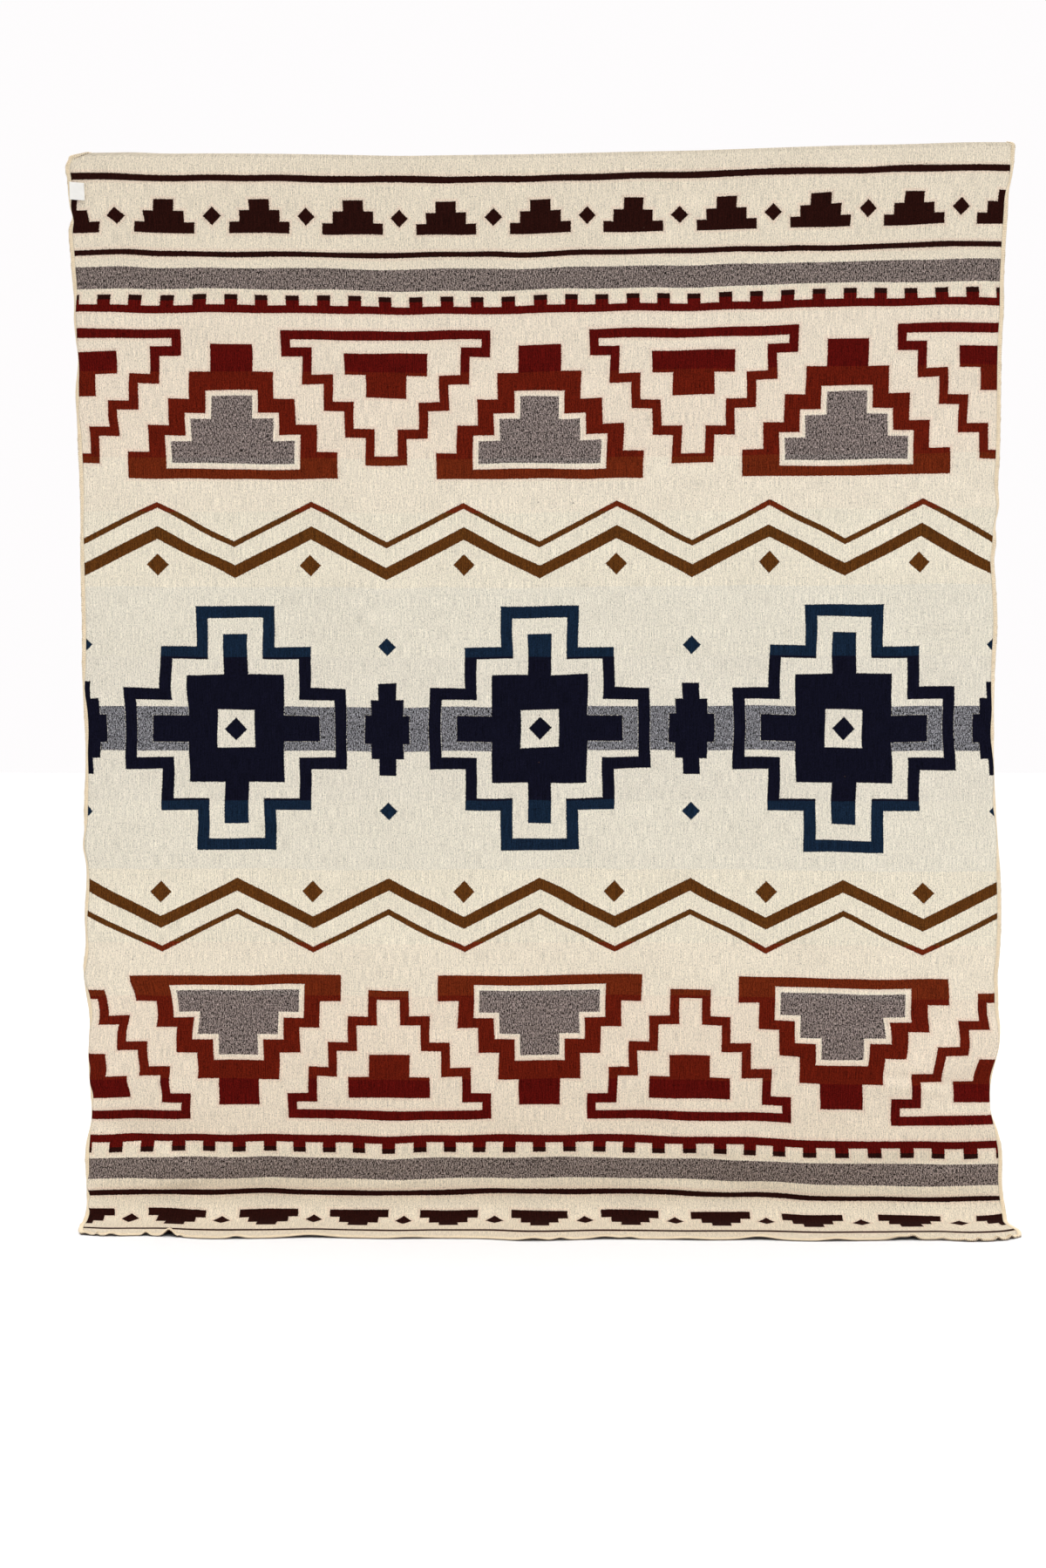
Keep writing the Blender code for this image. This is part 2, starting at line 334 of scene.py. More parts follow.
def hem_lift(x, to_hem):
    """The hem's own lift and the bells of the ripples, all fading with the distance to the hem."""
    lift = HEM_LIFT * ease(1 - to_hem / HEM_LIFT_DEPTH)
    for middle_x, half_width, height, depth in HEM_RIPPLES:
        bell = np.exp(-(((x - middle_x) / half_width) ** 2))
        lift = lift + height * bell * ease(1 - to_hem / depth)
    return lift


print("ripples:", len(HEM_RIPPLES))

# %% [markdown]
# Now the cloth is one function of two numbers: how far across, and which stage of its way down.
# Stage 0 to 1 is the top edge that turns back, 1 to 2 hangs, 2 to 3 bends at the floor, and 3 to
# 4 lies on it. Counting in stages keeps the close rows of the grid exactly at the two bends.
# Blender's cloth simulation could drape a flat sheet as well, but it chooses its own waves. A
# function puts each one where the real throw has it.

# %% The cloth as a function
def cloth_at(across, stage):
    """Points of the cloth's middle surface, and where each lies on the flat cut.

    Each column's path is an arc of TURN_RADIUS, the drop to the floor, a quarter turn of
    FOOT_RADIUS, and the run to the hem. The first two take FOOT_ON_CUT of the cut and the others
    its rest, so woven rows hang level however far the hem reaches. To the right they sink a little.
    """
    floor = FLOOR + SOLID_THICKNESS / 2
    top = curve_through(TOP_EDGE, across) - SOLID_THICKNESS / 2
    turn_length = TURN_RADIUS * TURN_ANGLE
    drop = top - TURN_RADIUS - FOOT_RADIUS - floor
    foot_length = FOOT_RADIUS * math.pi / 2
    foot_depth = depth_at(across * HALF_WIDTH, turn_length + drop, FOOT_RADIUS)
    run = curve_through(HEM_REACH, across) + foot_depth - FOOT_RADIUS

    turned = np.clip(stage, 0, 1) * turn_length
    hung = np.clip(stage - 1, 0, 1) * drop
    bent = np.clip(stage - 2, 0, 1) * math.pi / 2
    laid = np.clip(stage - 3, 0, 1) * run
    below_top = turned + hung + bent * FOOT_RADIUS + laid
    drop_share = (turned + hung) / (turn_length + drop)
    floor_share = (bent * FOOT_RADIUS + laid) / (foot_length + run)
    drop_on_cut = FOOT_ON_CUT - ROW_SINK * ease((across - ROW_SINK_FROM) / (1 - ROW_SINK_FROM))
    down = drop_on_cut * drop_share + (CUT_LENGTH - drop_on_cut) * floor_share

    half = HALF_WIDTH + TOP_SPREAD * np.exp(-below_top / TOP_SPREAD_DEPTH)
    below_edge = below_top - turn_length + TURN_RADIUS
    near_left = np.exp(-(((1 + across) * half / SIDE_FADE) ** 2))
    near_right = np.exp(-(((1 - across) * half / SIDE_FADE) ** 2))
    left_in, left_back = rolled((1 + across) * half, curve_through(LEFT_ROLL, below_edge))
    right_in, right_back = rolled((1 - across) * half, curve_through(RIGHT_ROLL, below_edge))
    x = across * half + near_left * (curve_through(LEFT_SIDE, below_edge) + left_in)
    x = x + near_right * (curve_through(RIGHT_SIDE, below_edge) - right_in)

    turn_left = TURN_ANGLE - turned / TURN_RADIUS
    above_floor = FOOT_RADIUS + drop - hung
    y = TURN_RADIUS * (1 - np.cos(turn_left)) + depth_at(x, turn_length + hung, above_floor)
    y = y - FOOT_RADIUS * (1 - np.cos(bent)) - laid + left_back + right_back
    z = floor + above_floor + TURN_RADIUS * np.sin(turn_left) - FOOT_RADIUS * np.sin(bent)
    z = z + hem_lift(x, run - laid) * (stage > 3)

    flat = np.stack([across * CUT_WIDTH / 2, down], axis=-1)
    return np.stack([x, y, z], axis=-1), flat


# %% [markdown]
# A surface in Blender is a mesh, and a mesh of a function is a grid: each point takes its two
# numbers, and each four neighbours become a face. NumPy works out all points at once, and
# foreach_set hands them over. A tube is the same grid, joined to itself along one side.

# %% A grid of points becomes a mesh
def grid_piece(name, places, flats=None, joined=False):
    """An object whose faces join neighbours of a rows by columns grid, down and then across."""
    rows, columns = places.shape[:2]
    index = np.arange(rows * columns).reshape(rows, columns)
    if joined:
        index = np.concatenate([index, index[:, :1]], axis=1)
    quads = np.stack([index[:-1, :-1], index[1:, :-1], index[1:, 1:], index[:-1, 1:]], axis=-1)
    corners = quads.reshape(-1)
    mesh = bpy.data.meshes.new(name)
    mesh.vertices.add(rows * columns)
    mesh.vertices.foreach_set("co", places.astype(np.float32).ravel())
    mesh.loops.add(len(corners))
    mesh.loops.foreach_set("vertex_index", corners.astype(np.int32))
    mesh.polygons.add(len(corners) // 4)
    mesh.polygons.foreach_set("loop_start", np.arange(0, len(corners), 4, dtype=np.int32))
    mesh.update(calc_edges=True)
    mesh.shade_smooth()
    if flats is not None:
        layer = mesh.uv_layers.new(name="cloth")
        layer.data.foreach_set("uv", flats.reshape(-1, 2)[corners].astype(np.float32).ravel())
    piece = bpy.data.objects.new(name, mesh)
    bpy.context.scene.collection.objects.link(piece)
    print(f"{name}: {len(corners) // 4} faces")
    return piece


# %% [markdown]
# The panel's grid is closer where the cloth bends more: in columns at both sides, which roll, and
# in rows at the top edge and near the floor. Solidify gives the sheet its thickness and its second
# face. Offset 0 keeps the function's surface in the middle, and the material offsets give the
# reverse and the rim finishes of their own.

# %% The woven panel
EDGE_COLUMNS = (0.0, 0.002, 0.004, 0.006, 0.008, 0.010, 0.012, 0.0145, 0.018)  # from the edge

# From which stage, or which share of the half width, and how many rows or columns follow
ROW_RUNS = ((0, 12), (1, 6), (1.014, 24), (1.14, 74), (1.74, 75), (2, 11), (3, 34), (4, 1))
COLUMN_RUNS = ((-0.97, 41), (-0.73, 105), (0.72, 42), (0.97, 1))


def run_of(table):
    """Even steps from the start of each row of the table to the start of the next one."""
    parts = [
        np.linspace(start, end, steps, endpoint=False)
        for (start, steps), (end, _) in zip(table, table[1:])
    ]
    return np.concatenate([*parts, [table[-1][0]]])


panel_stages = run_of(ROW_RUNS)
edge_across = 1 - np.array(EDGE_COLUMNS) / HALF_WIDTH
inner_across = run_of(COLUMN_RUNS)
panel_across = np.concatenate([-edge_across, inner_across, edge_across[::-1]])
grid_across, grid_stage = np.meshgrid(panel_across, panel_stages)
panel_places, panel_flats = cloth_at(grid_across, grid_stage)
woven_panel = grid_piece("woven_panel", panel_places, panel_flats)

wall = woven_panel.modifiers.new("two faces", "SOLIDIFY")
wall.thickness = CLOTH_THICKNESS
wall.offset = 0
wall.use_even_offset = True
wall.material_offset = 1
wall.material_offset_rim = 2

# %% [markdown]
# The seam that closes the edge is made by a machine that winds thread over it, stitch after
# stitch. It could be a bump in the finish, but its stitches show in the outline, so it is a real
# tube. Its path is a flat helix: it runs out over the front, round the edge and back under the
# cloth, while it moves on by one pitch. So the edge comes first, as a line of points with three
# directions at each: along it, outwards from the cloth, and up from its front.

# %% The edge line
SIDE_RUNS = ((0, 59), (1, 2199), (2, 89), (3, 251), (4, 1))  # from which stage, how many samples
END_SAMPLES = 2000
INSET = 0.006  # how far inside a side its outward direction is measured
TOP_INNER_STAGE = 0.4  # and which stage that is at the two ends
HEM_INNER_STAGE = 3.95
SEAM_SMOOTH = 9  # samples on each side over which the directions are averaged


def averaged(values, width):
    """Each row replaced by the mean of the rows around it, by differences of a running sum."""
    padded = np.pad(values, ((width, width), (0, 0)), mode="edge")
    total = np.cumsum(np.concatenate([np.zeros((1, 3)), padded]), axis=0)
    window = 2 * width + 1
    return (total[window:] - total[:-window]) / window


def unit(vectors):
    """Each vector divided by its length."""
    return vectors / np.linalg.norm(vectors, axis=-1, keepdims=True)


def read_off(at, place, vectors):
    """The vectors at new places on a line: a straight line between the nearest two, for each axis."""
    return np.stack([np.interp(at, place, vectors[:, axis]) for axis in range(3)], axis=1)


def edge_line(across, stage, inner_across, inner_stage):
    """Even steps along an edge, with its outward and upward directions.

    Outwards is from the inner point to the edge point. Upwards, the cloth's front, is at right
    angles to both the edge and that direction.
    """
    on_edge, _ = cloth_at(across, stage)
    inside, _ = cloth_at(inner_across, inner_stage)
    run = np.concatenate([[0], np.cumsum(np.linalg.norm(np.diff(on_edge, axis=0), axis=1))])
    even = np.linspace(0, run[-1], len(run))
    line, inner_line = read_off(even, run, on_edge), read_off(even, run, inside)
    along = unit(averaged(np.gradient(line, axis=0), SEAM_SMOOTH))
    out = unit(averaged(line - inner_line, SEAM_SMOOTH))
    up = unit(np.cross(out, along))
    return line, along, unit(np.cross(along, up)), up, run[-1]


down_the_side = run_of(SIDE_RUNS)
side_ones = np.ones(len(down_the_side))
inner_side = 1 - INSET / HALF_WIDTH
over_the_end = np.linspace(-1, 1, END_SAMPLES)
end_ones = np.ones(len(over_the_end))
EDGES = {
    "left": edge_line(-side_ones, down_the_side, -inner_side * side_ones, down_the_side),
    "hem": edge_line(over_the_end, 4 * end_ones, over_the_end, HEM_INNER_STAGE * end_ones),
    "right": edge_line(side_ones, down_the_side[::-1], inner_side * side_ones, down_the_side[::-1]),
    "top": edge_line(over_the_end[::-1], 0 * end_ones, over_the_end[::-1], TOP_INNER_STAGE * end_ones),
}
for name, (_, _, _, _, length) in EDGES.items():
    print(f"{name} edge: {length:.3f} m")

# %% [markdown]
# The thread is a tube with five sides. Every stitch differs a little, because wool thread is
# lively: some loops stand a millimetre or two further out than the rest, which gives the sides
# of the throw their slightly hairy look.

# %% The overlock thread
STITCH_PITCH = 0.0031
STITCH_POINTS = 12
THREAD_RADIUS = 0.00075
SEAM_WIDTH = 0.0066
SEAM_HALF_HEIGHT = 0.0018
LOOP_REACH = 0.0006  # how far past the edge a tight stitch reaches, and how much more a loose one
LOOSE_LOOP = 0.0014
LOOSE_POWER = 4  # of a random number from 0 to 1, so that few stitches are very loose
FLATNESS = 0.6  # the power of the sine, below 1, that flattens the helix
STITCH_SLANT = 0.30  # how far a stitch leans along the edge, in pitches
SLANT_START = 0.6  # and where in its turn, in radians
THREAD_SIDES = 5


def over_seam(name, edge, seed):
    """A thread wound over an edge: a flat helix about a line half a seam's width inside it.

    The outward place is the cosine and the height the sine of the winding angle. The sine is
    raised to the power FLATNESS, with its sign kept, so that the thread lies flat on both faces.
    """
    line, along, out, up, length = edge
    stitches = round(length / STITCH_PITCH)
    turn = np.linspace(0, stitches, stitches * STITCH_POINTS + 1)
    place = np.linspace(0, length, len(line))
    at = turn / stitches * length
    here, ahead, outward, upward = (read_off(at, place, part) for part in (line, along, out, up))
    angle = 2 * math.pi * turn
    random = np.random.default_rng(seed)
    loops = random.random(stitches + 2)
    loose = np.interp(turn, np.arange(stitches + 2) - 0.5, loops**LOOSE_POWER)
    reach = LOOP_REACH + LOOSE_LOOP * loose
    cosine, sine = np.cos(angle), np.sin(angle)
    outward_place = np.where(cosine > 0, reach * cosine, 0) + (SEAM_WIDTH / 2) * (cosine - 1)
    height = SEAM_HALF_HEIGHT * np.sign(sine) * np.abs(sine) ** FLATNESS
    slant = STITCH_SLANT * STITCH_PITCH * np.sin(2 * angle + SLANT_START)
    path = here + outward * outward_place[:, None] + upward * height[:, None] + ahead * slant[:, None]
    heading = unit(np.gradient(path, axis=0))
    side = unit(np.cross(heading, ahead))
    other = np.cross(heading, side)
    round_it = np.linspace(0, 2 * math.pi, THREAD_SIDES, endpoint=False)
    ring = side[:, None] * np.cos(round_it)[:, None] + other[:, None] * np.sin(round_it)[:, None]
    shares = np.stack([(1 - sine) / 2, (1 + cosine) / 2], axis=-1)
    flats = np.repeat(shares[:, None], THREAD_SIDES, axis=1)
    return grid_piece(name, path[:, None] + THREAD_RADIUS * ring, flats, joined=True)


seams = [
    over_seam(f"overlock_{name}", edge, seed) for seed, (name, edge) in enumerate(EDGES.items(), start=1)
]

# %% [markdown]
# The label is a ribbon folded in two. Both its ends are caught at the side of the throw, and the
# folded end lies free, standing off the cloth. Its section is therefore a hairpin: out along the
# cloth, round a tight half circle and back over itself. It stays bare.

# %% The ribbon label
LABEL_LEFT = -0.8349
LABEL_WIDTH = 0.0262
LABEL_HEIGHT = 0.0306
LABEL_TOP = 0.0508
LABEL_TILT = 0.0026  # how much lower its right end hangs
LABEL_FLARE = 0.0012  # how much further right its lower corner reaches
LABEL_OFF_CLOTH = 0.0026  # from the cloth's middle surface, over the seam's thread
LABEL_FOLD_RADIUS = 0.0007
LABEL_STAND_OFF = 0.0022  # of the free end from the cloth
STAND_OFF_AT_TOP = 0.8  # the share of it at the top, and how much more at the bottom
STAND_OFF_GROWTH = 0.4
LABEL_WAVE = 0.0004  # the free end waves by this much, through so many radians
LABEL_WAVE_TURN = 9
LAYER_POINTS = 24
FOLD_POINTS = 11
LABEL_ROWS = 30
RIBBON_THICKNESS = 0.00035


def ribbon_label():
    """The ribbon: two straight layers joined by a half circle, swept down the label's height.

    It stands off the cloth by the square of the way out, so it leaves the seam without a kink.
    """
    reach = np.linspace(0, LABEL_WIDTH - LABEL_FOLD_RADIUS, LAYER_POINTS)
    bend = np.linspace(0, math.pi, FOLD_POINTS)[1:-1]
    out = np.concatenate([reach, reach[-1] + LABEL_FOLD_RADIUS * np.sin(bend), reach[::-1]])
    lift = np.concatenate(
        [0 * reach, LABEL_FOLD_RADIUS * (1 - np.cos(bend)), 2 * LABEL_FOLD_RADIUS + 0 * reach]
    )
    down = np.linspace(0, 1, LABEL_ROWS)
    across, drop = np.meshgrid(out / LABEL_WIDTH, down)
    lifted, _ = np.meshgrid(lift, down)
    run = np.concatenate([[0], np.cumsum(np.hypot(np.diff(out), np.diff(lift)))])
    z = -LABEL_TOP - LABEL_HEIGHT * drop - LABEL_TILT * across
    x = LABEL_LEFT + LABEL_WIDTH * across + LABEL_FLARE * drop * across
    cloth = depth_at(x, -z, HANG_HEIGHT + z)
    free = LABEL_STAND_OFF * across**2 * (STAND_OFF_AT_TOP + STAND_OFF_GROWTH * drop)
    free = free + LABEL_WAVE * np.sin(LABEL_WAVE_TURN * drop) * across
    places = np.stack([x, cloth - LABEL_OFF_CLOTH - free - lifted, z], axis=-1)
    flats = np.stack([np.broadcast_to(run, z.shape), LABEL_HEIGHT * drop], axis=-1)
    piece = grid_piece("ribbon_label", places[:, ::-1], flats[:, ::-1])
    skin = piece.modifiers.new("ribbon", "SOLIDIFY")
    skin.thickness = RIBBON_THICKNESS
    skin.offset = 0
    return piece


label = ribbon_label()

# %% [markdown]
# Finishes are node trees, and their maths reads best as Python. Amount wraps the output of a
# node, so that a sum of two amounts adds a Math node. The reflected forms serve where a plain
# number comes first, as in 1 - mask.

# %% Shader maths as expressions
class Amount:
    """A number that changes over a surface, as the output socket of a node."""

    def __init__(self, finish, socket):
        self.finish = finish
        self.socket = socket

    def __add__(self, other):
        return self.finish.maths("ADD", self, other)

    def __sub__(self, other):
        return self.finish.maths("SUBTRACT", self, other)

    def __rsub__(self, other):
        return self.finish.maths("SUBTRACT", other, self)

    def __mul__(self, other):
        return self.finish.maths("MULTIPLY", self, other)

    def __truediv__(self, other):
        return self.finish.maths("DIVIDE", self, other)

    def __neg__(self):
        return self.finish.maths("MULTIPLY", self, -1.0)

    def __abs__(self):
        return self.finish.maths("ABSOLUTE", self)

    __radd__ = __add__
    __rmul__ = __mul__


# %% [markdown]
# Finish holds the tree of one material. Its node method makes any node: its type, then its
# settings, then what goes into its sockets. The methods after it are the few nodes that this
# throw needs again and again.

# %% A material being made
class Finish:
    """A material being made: its node tree and its shader."""

    def __init__(self, name):
        self.material = bpy.data.materials.new(name)
        self.material.use_nodes = True
        self.tree = self.material.node_tree
        self.shader = self.tree.nodes["Principled BSDF"]

    def feed(self, socket, value):
        """Links an amount or a socket to the socket, or sets a plain value there."""
        value = getattr(value, "socket", value)
        if isinstance(value, bpy.types.NodeSocket):
            self.tree.links.new(value, socket)
        else:
            socket.default_value = value

    def node(self, kind, settings=None, **sockets):
        """Any node: its type without ShaderNode, its settings, and its sockets by name."""
        made = self.tree.nodes.new("ShaderNode" + kind)
        for setting, value in (settings or {}).items():
            setattr(made, setting, value)
        for name, value in sockets.items():
            self.feed(made.inputs[name.replace("_", " ")], value)
        return made

    def maths(self, operation, *values):
        """One Math node on one or two values."""
        made = self.node("Math", {"operation": operation})
        for socket, value in zip(made.inputs, values):
            self.feed(socket, value)
        return Amount(self, made.outputs[0])

    def soft_step(self, value, start, end):
        """0 at start and 1 at end, smooth between."""
        made = self.node(
            "MapRange", {"interpolation_type": "SMOOTHSTEP"}, Value=value, From_Min=start, From_Max=end
        )
        return Amount(self, made.outputs[0])

    def on_cloth(self):
        """The two numbers that the piece's UV map holds for each point."""
        spot = self.node("UVMap", {"uv_map": "cloth"})
        split = self.node("SeparateXYZ", None, Vector=spot.outputs[0])
        return Amount(self, split.outputs["X"]), Amount(self, split.outputs["Y"])

    def noise(self, u, v, clouds):
        """Cloudy noise about 0, from -0.5 to 0.5, with so many clouds a metre across and down."""
        spot = self.node("CombineXYZ", X=u * clouds[0], Y=v * clouds[1])
        made = self.node(
            "TexNoise", {"noise_dimensions": "2D"}, Vector=spot.outputs[0], Scale=1.0, Detail=0.0
        )
        return Amount(self, made.outputs[0]) - 0.5

    def mix(self, share, first, second):
        """The first colour where the share is 0, and the second where it is 1."""
        made = self.node("Mix", {"data_type": "RGBA"})
        for place, value in ((0, share), (6, first), (7, second)):
            self.feed(made.inputs[place], value)
        return made.outputs[2]

    def shade(self, colour, amount):
        """The colour made lighter or darker by an amount near 1."""
        if isinstance(colour, tuple):
            colour = colour[:3]
        made = self.node("VectorMath", {"operation": "SCALE"}, Vector=colour, Scale=amount)
        return made.outputs[0]

    def done(self, colour, roughness, height, height_step):
        """Links the colour and roughness, and the height in metres as a bump."""
        self.feed(self.shader.inputs["Base Color"], colour)
        self.feed(self.shader.inputs["Roughness"], roughness)
        bump = self.node("Bump", None, Height=height, Distance=height_step, Strength=1.0)
        self.feed(self.shader.inputs["Normal"], bump.outputs[0])
        return self.material


# %% Sums, the least, the most and the nearest
def together(amounts, shares):
    """The sum of amounts, each times its share."""
    total = amounts[0] * shares[0]
    for amount, share in zip(amounts[1:], shares[1:]):
        total = total + amount * share
    return total


def least(*amounts):
    """The smallest of several amounts. Of distances to shapes, it is the distance to their union."""
    found = amounts[0]
    for amount in amounts[1:]:
        found = found.finish.maths("MINIMUM", found, amount)
    return found


def most(*amounts):
    """The largest of several amounts. Of distances to shapes, it is that to their overlap."""
    found = amounts[0]
    for amount in amounts[1:]:
        found = found.finish.maths("MAXIMUM", found, amount)
    return found


def to_nearest(amount, pitch):
    """The distance to the nearest whole multiple of the pitch: there and back like a ball."""
    return amount.finish.maths("PINGPONG", amount, pitch / 2)


# %% [markdown]
# The weft changes colour seven times from the middle line of the cloth to each end, so the colour
# of a motif depends on its place alone. The cream warp hides the weft but not quite: each weft
# tints the cream that lies over it, and so does the grey heather.

# %% Yarn colours
def linear(red, green, blue):
    """A colour of 0 to 255 as seen on a screen, as linear light."""
    seen = np.array([red, green, blue]) / 255
    light = np.where(seen <= 0.04045, seen / 12.92, ((seen + 0.055) / 1.055) ** 2.4)
    return (*light.tolist(), 1.0)


NEP = linear(70, 52, 44)
BLUSH = linear(205, 130, 108)
SEAM_CREAM = linear(246, 229, 200)
# brown painted shade for the back of the seam's thread
SEAM_PAINTED_SHADE = linear(98, 76, 60)
RIBBON_WHITE = linear(250, 247, 240)

# Distance from the middle line where each weft starts, its own colour, the cream and the heather
WEFTS = (
    (0.000, linear(15, 15, 29), linear(225, 217, 200), linear(112, 111, 114)),
    (0.126, linear(19, 34, 52), linear(227, 219, 201), linear(114, 115, 118)),
    (0.255, linear(89, 51, 18), linear(231, 221, 200), linear(118, 111, 107)),
    (0.387, linear(101, 36, 14), linear(232, 220, 199), linear(118, 108, 103)),
    (0.484, linear(95, 24, 10), linear(232, 217, 196), linear(118, 106, 101)),
    (0.640, linear(84, 12, 8), linear(231, 217, 196), linear(118, 106, 100)),
    (0.765, linear(38, 13, 9), linear(228, 215, 193), linear(116, 104, 98)),
)
HALF_CUT = CUT_WIDTH / 2
HALF_LENGTH = CUT_LENGTH / 2


def by_weft(finish, from_middle, column):
    """A colour column of the table at a distance from the middle line: a ramp of hard steps."""
    made = finish.node("ValToRGB", None, Fac=from_middle / HALF_LENGTH)
    ramp = made.color_ramp
    ramp.interpolation = "CONSTANT"
    while len(ramp.elements) < len(WEFTS):
        ramp.elements.new(0.5)
    for stop, row in zip(ramp.elements, WEFTS):
        stop.position = row[0] / HALF_LENGTH
        stop.color = row[column]
    return made.outputs[0]


# %% [markdown]
# The design is a plain one of the kind that highland weavers use: stepped crosses on the middle
# line, zigzags, stepped pyramids and small lozenges, all in rows. Each motif is a distance: less
# than zero inside and more than zero outside. So a union is the least of two distances, an
# overlap the most, and a rim is how far the distance itself is from half the rim's width.

# %% The parts of motifs
def block(x, y, half_x, half_y):
    """A rectangle about zero: the greater of x less its half and y less its half."""
    return most(x - half_x, y - half_y)


def stepped(x, y, steps):
    """The union of rectangles about one middle, from wide and low to narrow and tall."""
    return least(*[block(x, y, half_x, half_y) for half_x, half_y in steps])


def rim(shape, width):
    """The outermost strip of a shape."""
    return abs(shape + width / 2) - width / 2


def lozenge(x, y, half):
    """A square on its corner: the sum of x and y less its half, times the root of a half."""
    return (x + y - half) * math.sqrt(0.5)


def pyramid(x, height, base_half, step_in, step_up, count):
    """Steps that rise from height zero, each narrower than the one below."""
    steps = [
        most(x - (base_half - k * step_in), height - (k + 1) * step_up) for k in range(count)
    ]
    return most(least(*steps), -height)


def zigzag(x, y, pitch, rise, half_width):
    """A band about a line that climbs by the rise and falls again within each pitch."""
    slope = 2 * rise / pitch
    line = y + rise / 2 - to_nearest(x, pitch) * slope
    return (abs(line) - half_width) * math.cos(math.atan(slope))


# %% [markdown]
# Each row of motifs is a function of u, the place across, and of d, the distance from the middle
# line. As d is never negative, every row appears on both sides of that line, and the cloth reads
# the same either way up. Where x comes in, it is the distance to the nearest cross, and between
# the distance to the nearest gap of two crosses. Some rows give a second shape, for the heather.

# %% The row of crosses
CROSS_PITCH = 0.56
# Half width and half height of each block, from wide and low to narrow and tall
CROSS_STEPS = ((0.204, 0.074), (0.138, 0.148), (0.072, 0.222))
LINK_STEPS = ((0.042, 0.026), (0.030, 0.054), (0.016, 0.084))
CROSS_RIM = 0.022
CORE_INSET = 0.050
EYE_HOLE = 0.034  # half sizes
EYE_HALF = 0.021
BEAD_HALF = 0.017
BEAD_PITCH = 0.1
BEADS = (0.165, 0.045)  # the middle and half width of the strip that has them
BAND_HALF = 0.040
BAND_FROM = 0.046  # from the middle of a cross


def stripe(d, middle, half):
    """A strip along the cloth: how far d is from its middle, less half its width."""
    return abs(d - middle) - half


def crosses(x, between, d):
    """Outlined stepped crosses with a core and an eye, and small links and beads between them."""
    cross = stepped(x, d, CROSS_STEPS)
    core = most(cross + CORE_INSET, -block(x, d, EYE_HOLE, EYE_HOLE))
    link = stepped(between, d, LINK_STEPS)
    all_beads = lozenge(between, abs(to_nearest(d, BEAD_PITCH) - BEAD_PITCH / 2), BEAD_HALF)
    beads = most(all_beads, stripe(d, *BEADS))
    motif = least(rim(cross, CROSS_RIM), core, lozenge(x, d, EYE_HALF), link, beads)
    return motif, most(d - BAND_HALF, -motif, BAND_FROM - x)


# %% The zigzags and the pyramids
ZIGZAG_PITCH = 0.28
ZIGZAG_RISE = 0.070
ZIGZAGS = ((0.318, 0.0115), (0.368, 0.0055))  # mean distance from the middle line, half height
BAYS_AT = 0.296
BAY_HALF = 0.020

# Half the base, how much each step goes in and up, and how many steps there are
TALL_PYRAMID = (0.190, 0.038, 0.048, 5)
CORE_PYRAMID = (0.112, 0.038, 0.040, 3)
SEED_PYRAMID = (0.076, 0.038, 0.040, 2)
TALL_BASE = 0.450  # distances of the bases from the middle line
CORE_BASE = 0.478
HUNG_BASE = 0.716
SEED_BASE = 0.676
CORE_LINE = 0.010  # the cream line round a core
HUNG_RIM = 0.017


def zigzags(u, d):
    """Two parallel zigzags, a wide one and a thin one, with small lozenges in their bays."""
    lines = [zigzag(u, d - middle, ZIGZAG_PITCH, ZIGZAG_RISE, half) for middle, half in ZIGZAGS]
    bays = lozenge(ZIGZAG_PITCH / 2 - to_nearest(u, ZIGZAG_PITCH), abs(d - BAYS_AT), BAY_HALF)
    return least(*lines, bays)


def pyramids(x, between, d):
    """Pyramids with a heather core, and outlined ones with a seed upside down between them."""
    core = pyramid(x, d - CORE_BASE, *CORE_PYRAMID)
    solid = most(pyramid(x, d - TALL_BASE, *TALL_PYRAMID), CORE_LINE - core)
    hung = pyramid(between, HUNG_BASE - d, *TALL_PYRAMID)
    seed = pyramid(between, SEED_BASE - d, *SEED_PYRAMID)
    return least(solid, rim(hung, HUNG_RIM), seed), core


# %% The borders
STRIPES = ((0.752, 0.007), (0.850, 0.005), (0.984, 0.006))  # middle and half width
HEATHER_STRIPE = (0.806, 0.019)
TOOTH_PITCH = 0.056
TEETH_AT = 0.764
TOOTH_HALVES = (0.012, 0.013)
HAT_PITCH = 0.168
HAT_BASE = 0.886
HAT_PYRAMID = (0.054, 0.018, 0.020, 3)
DOTS_AT = 0.916
DOT_HALF = 0.016


def borders(u, d):
    """Stripes, a comb of short teeth and a row of small stepped hats, out to the ends."""
    stripes = [stripe(d, middle, half) for middle, half in STRIPES]
    teeth = block(to_nearest(u, TOOTH_PITCH), abs(d - TEETH_AT), *TOOTH_HALVES)
    from_hat = to_nearest(u, HAT_PITCH)
    hats = pyramid(from_hat, d - HAT_BASE, *HAT_PYRAMID)
    dots = lozenge(HAT_PITCH / 2 - from_hat, abs(d - DOTS_AT), DOT_HALF)
    return least(*stripes, teeth, hats, dots), stripe(d, *HEATHER_STRIPE)


# %% [markdown]
# Brushed wool never draws a sharp edge. Slow noise lets every line wander by a millimetre or
# two, and fine noise frays it before the distance becomes a mask of 0 or 1. Reds shed a little
# colour, which leaves a faint blush on the cream beside them.

# %% The masks of the design
GRAIN_CLOUDS = (580.0, 500.0)  # for each metre across and down
SLOW_CLOUDS = (9.0, 13.0)
FRAY = 0.0018
WANDER = 0.005
HALF_BLUR = 0.0006  # of a motif's edge

SEAM_END = (0.0062, 0.0070)  # distances from the cloth's edge over which the seam's cream ends
NEEDLE_LINE = 0.0072
NEEDLE_PAINTED_SHADE_SPAN = (0.0004, 0.0013)  # distances from that line over which its painted shade ends
TOP_FOLD_PAINTED_SHADE_SPAN = (0.0165, 0.0225)  # distances from the top end over which the fold's painted shade ends
REDS = (0.36, 0.50)  # distances from the middle line between which the yarn turns red
BLUSH_REACH = 0.0075
BLUSH_SHARE = 0.17


